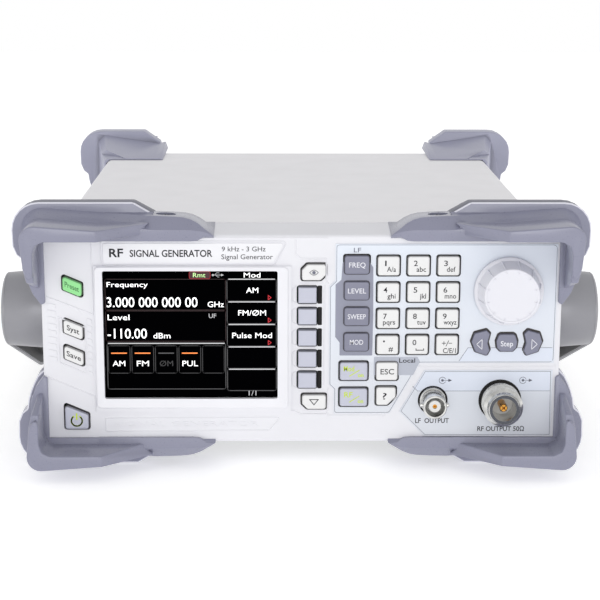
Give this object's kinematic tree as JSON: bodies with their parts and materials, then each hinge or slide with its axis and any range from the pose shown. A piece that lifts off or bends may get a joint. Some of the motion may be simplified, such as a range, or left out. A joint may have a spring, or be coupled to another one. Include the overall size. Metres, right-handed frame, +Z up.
{
  "type": "rf signal generator",
  "caption": "Half-rack bench RF signal generator with a display, keypad, tuning knob, two front outputs, corner bumpers and a swing handle.",
  "frame": {"origin": "on the table under the middle of the whole object, handle stowed behind it", "axes": "+X to the right seen from the front, +Y to the back, +Z up"},
  "size_m": [0.2616, 0.3184, 0.11],
  "materials": {
    "bezel_plastic": "fine textured moulding",
    "display_glass": "anti-glare, semi-gloss",
    "dark_plastic": "moulded black",
    "overlay_film": "satin polyester film",
    "board_green": "solder-masked board",
    "key_light": "satin",
    "key_grey": "satin",
    "key_dark": "satin",
    "key_green": "satin",
    "knob_plastic": "satin white",
    "nickel": "nickel plated",
    "cover_paint": "fine powder coat",
    "chassis_metal": "zinc plated sheet",
    "rear_metal": "fine powder coat",
    "bumper_plastic": "fine textured moulding, blue-grey",
    "handle_plastic": "metallic grey moulding",
    "screw_steel": "zinc plated"
  },
  "bodies": {
    "case": {"front_bezel": "bezel_plastic", "display_window": "display_glass", "display_module": "dark_plastic", "keypad_overlay": "overlay_film", "connector_overlay": "overlay_film", "key_board": "board_green", "knob_encoder": "dark_plastic", "lf_output_socket": "nickel", "rf_output_socket": "nickel", "rear_sockets": "nickel", "top_cover": "cover_paint", "bottom_chassis": "chassis_metal", "rear_panel": "rear_metal", "front_left_bumper": "bumper_plastic", "front_right_bumper": "bumper_plastic", "rear_left_bumper": "bumper_plastic", "rear_right_bumper": "bumper_plastic", "handle_pivots": "screw_steel", "main_board": "board_green", "power_supply": "board_green", "fan_frame": "dark_plastic", "mains_inlet": "dark_plastic", "case_screws": "screw_steel"},
    "handle": {"carry_handle": "handle_plastic"},
    "knob": {"control_knob": "knob_plastic"},
    "fan": {"fan_rotor": "dark_plastic"},
    "preset_button": {"preset_key": "key_green"},
    "system_button": {"system_key": "key_light"},
    "save_button": {"save_key": "key_light"},
    "power_button": {"power_key": "key_grey"},
    "view_button": {"view_key": "key_light"},
    "soft_button_1": {"soft_key_1": "key_grey"},
    "soft_button_2": {"soft_key_2": "key_grey"},
    "soft_button_3": {"soft_key_3": "key_grey"},
    "soft_button_4": {"soft_key_4": "key_grey"},
    "soft_button_5": {"soft_key_5": "key_grey"},
    "page_down_button": {"page_down_key": "key_light"},
    "frequency_button": {"frequency_key": "key_dark"},
    "level_button": {"level_key": "key_dark"},
    "sweep_button": {"sweep_key": "key_dark"},
    "modulation_button": {"modulation_key": "key_dark"},
    "modulation_on_button": {"modulation_on_key": "key_grey"},
    "rf_on_button": {"rf_on_key": "key_grey"},
    "escape_button": {"escape_key": "key_light"},
    "help_button": {"help_key": "key_light"},
    "digit_1_button": {"digit_1_key": "key_light"},
    "digit_2_button": {"digit_2_key": "key_light"},
    "digit_3_button": {"digit_3_key": "key_light"},
    "digit_4_button": {"digit_4_key": "key_light"},
    "digit_5_button": {"digit_5_key": "key_light"},
    "digit_6_button": {"digit_6_key": "key_light"},
    "digit_7_button": {"digit_7_key": "key_light"},
    "digit_8_button": {"digit_8_key": "key_light"},
    "digit_9_button": {"digit_9_key": "key_light"},
    "digit_point_button": {"digit_point_key": "key_light"},
    "digit_0_button": {"digit_0_key": "key_light"},
    "digit_sign_button": {"digit_sign_key": "key_light"},
    "arrow_left_button": {"arrow_left_key": "key_dark"},
    "step_button": {"step_key": "key_dark"},
    "arrow_right_button": {"arrow_right_key": "key_dark"}
  },
  "joints": [
    {"name": "handle_swing", "type": "hinge", "parent": "case", "child": "handle", "pos_m": [0, -0.0824, 0.0544], "axis": [1, 0, 0], "range_deg": [0, 215]},
    {"name": "knob_turn", "type": "hinge", "parent": "case", "child": "knob", "pos_m": [0.0831, -0.1419, 0.0755], "axis": [0, -1, 0], "continuous": true},
    {"name": "fan_spin", "type": "hinge", "parent": "case", "child": "fan", "pos_m": [0.055, 0.0975, 0.055], "axis": [0, 1, 0], "continuous": true},
    {"name": "preset_key_press", "type": "slide", "parent": "case", "child": "preset_button", "axis": [0, 1, 0], "range_m": [0, 0.0012], "stiffness_N_per_m": 800},
    {"name": "system_key_press", "type": "slide", "parent": "case", "child": "system_button", "axis": [0, 1, 0], "range_m": [0, 0.0012], "stiffness_N_per_m": 800},
    {"name": "save_key_press", "type": "slide", "parent": "case", "child": "save_button", "axis": [0, 1, 0], "range_m": [0, 0.0012], "stiffness_N_per_m": 800},
    {"name": "power_key_press", "type": "slide", "parent": "case", "child": "power_button", "axis": [0, 1, 0], "range_m": [0, 0.0012], "stiffness_N_per_m": 800},
    {"name": "view_key_press", "type": "slide", "parent": "case", "child": "view_button", "axis": [0, 1, 0], "range_m": [0, 0.0012], "stiffness_N_per_m": 800},
    {"name": "soft_key_1_press", "type": "slide", "parent": "case", "child": "soft_button_1", "axis": [0, 1, 0], "range_m": [0, 0.0012], "stiffness_N_per_m": 800},
    {"name": "soft_key_2_press", "type": "slide", "parent": "case", "child": "soft_button_2", "axis": [0, 1, 0], "range_m": [0, 0.0012], "stiffness_N_per_m": 800},
    {"name": "soft_key_3_press", "type": "slide", "parent": "case", "child": "soft_button_3", "axis": [0, 1, 0], "range_m": [0, 0.0012], "stiffness_N_per_m": 800},
    {"name": "soft_key_4_press", "type": "slide", "parent": "case", "child": "soft_button_4", "axis": [0, 1, 0], "range_m": [0, 0.0012], "stiffness_N_per_m": 800},
    {"name": "soft_key_5_press", "type": "slide", "parent": "case", "child": "soft_button_5", "axis": [0, 1, 0], "range_m": [0, 0.0012], "stiffness_N_per_m": 800},
    {"name": "page_down_key_press", "type": "slide", "parent": "case", "child": "page_down_button", "axis": [0, 1, 0], "range_m": [0, 0.0012], "stiffness_N_per_m": 800},
    {"name": "frequency_key_press", "type": "slide", "parent": "case", "child": "frequency_button", "axis": [0, 1, 0], "range_m": [0, 0.0012], "stiffness_N_per_m": 800},
    {"name": "level_key_press", "type": "slide", "parent": "case", "child": "level_button", "axis": [0, 1, 0], "range_m": [0, 0.0012], "stiffness_N_per_m": 800},
    {"name": "sweep_key_press", "type": "slide", "parent": "case", "child": "sweep_button", "axis": [0, 1, 0], "range_m": [0, 0.0012], "stiffness_N_per_m": 800},
    {"name": "modulation_key_press", "type": "slide", "parent": "case", "child": "modulation_button", "axis": [0, 1, 0], "range_m": [0, 0.0012], "stiffness_N_per_m": 800},
    {"name": "modulation_on_key_press", "type": "slide", "parent": "case", "child": "modulation_on_button", "axis": [0, 1, 0], "range_m": [0, 0.0012], "stiffness_N_per_m": 800},
    {"name": "rf_on_key_press", "type": "slide", "parent": "case", "child": "rf_on_button", "axis": [0, 1, 0], "range_m": [0, 0.0012], "stiffness_N_per_m": 800},
    {"name": "escape_key_press", "type": "slide", "parent": "case", "child": "escape_button", "axis": [0, 1, 0], "range_m": [0, 0.0012], "stiffness_N_per_m": 800},
    {"name": "help_key_press", "type": "slide", "parent": "case", "child": "help_button", "axis": [0, 1, 0], "range_m": [0, 0.0012], "stiffness_N_per_m": 800},
    {"name": "digit_1_key_press", "type": "slide", "parent": "case", "child": "digit_1_button", "axis": [0, 1, 0], "range_m": [0, 0.0012], "stiffness_N_per_m": 800},
    {"name": "digit_2_key_press", "type": "slide", "parent": "case", "child": "digit_2_button", "axis": [0, 1, 0], "range_m": [0, 0.0012], "stiffness_N_per_m": 800},
    {"name": "digit_3_key_press", "type": "slide", "parent": "case", "child": "digit_3_button", "axis": [0, 1, 0], "range_m": [0, 0.0012], "stiffness_N_per_m": 800},
    {"name": "digit_4_key_press", "type": "slide", "parent": "case", "child": "digit_4_button", "axis": [0, 1, 0], "range_m": [0, 0.0012], "stiffness_N_per_m": 800},
    {"name": "digit_5_key_press", "type": "slide", "parent": "case", "child": "digit_5_button", "axis": [0, 1, 0], "range_m": [0, 0.0012], "stiffness_N_per_m": 800},
    {"name": "digit_6_key_press", "type": "slide", "parent": "case", "child": "digit_6_button", "axis": [0, 1, 0], "range_m": [0, 0.0012], "stiffness_N_per_m": 800},
    {"name": "digit_7_key_press", "type": "slide", "parent": "case", "child": "digit_7_button", "axis": [0, 1, 0], "range_m": [0, 0.0012], "stiffness_N_per_m": 800},
    {"name": "digit_8_key_press", "type": "slide", "parent": "case", "child": "digit_8_button", "axis": [0, 1, 0], "range_m": [0, 0.0012], "stiffness_N_per_m": 800},
    {"name": "digit_9_key_press", "type": "slide", "parent": "case", "child": "digit_9_button", "axis": [0, 1, 0], "range_m": [0, 0.0012], "stiffness_N_per_m": 800},
    {"name": "digit_point_key_press", "type": "slide", "parent": "case", "child": "digit_point_button", "axis": [0, 1, 0], "range_m": [0, 0.0012], "stiffness_N_per_m": 800},
    {"name": "digit_0_key_press", "type": "slide", "parent": "case", "child": "digit_0_button", "axis": [0, 1, 0], "range_m": [0, 0.0012], "stiffness_N_per_m": 800},
    {"name": "digit_sign_key_press", "type": "slide", "parent": "case", "child": "digit_sign_button", "axis": [0, 1, 0], "range_m": [0, 0.0012], "stiffness_N_per_m": 800},
    {"name": "arrow_left_key_press", "type": "slide", "parent": "case", "child": "arrow_left_button", "axis": [0, 1, 0], "range_m": [0, 0.0012], "stiffness_N_per_m": 800},
    {"name": "step_key_press", "type": "slide", "parent": "case", "child": "step_button", "axis": [0, 1, 0], "range_m": [0, 0.0012], "stiffness_N_per_m": 800},
    {"name": "arrow_right_key_press", "type": "slide", "parent": "case", "child": "arrow_right_button", "axis": [0, 1, 0], "range_m": [0, 0.0012], "stiffness_N_per_m": 800}
  ]
}
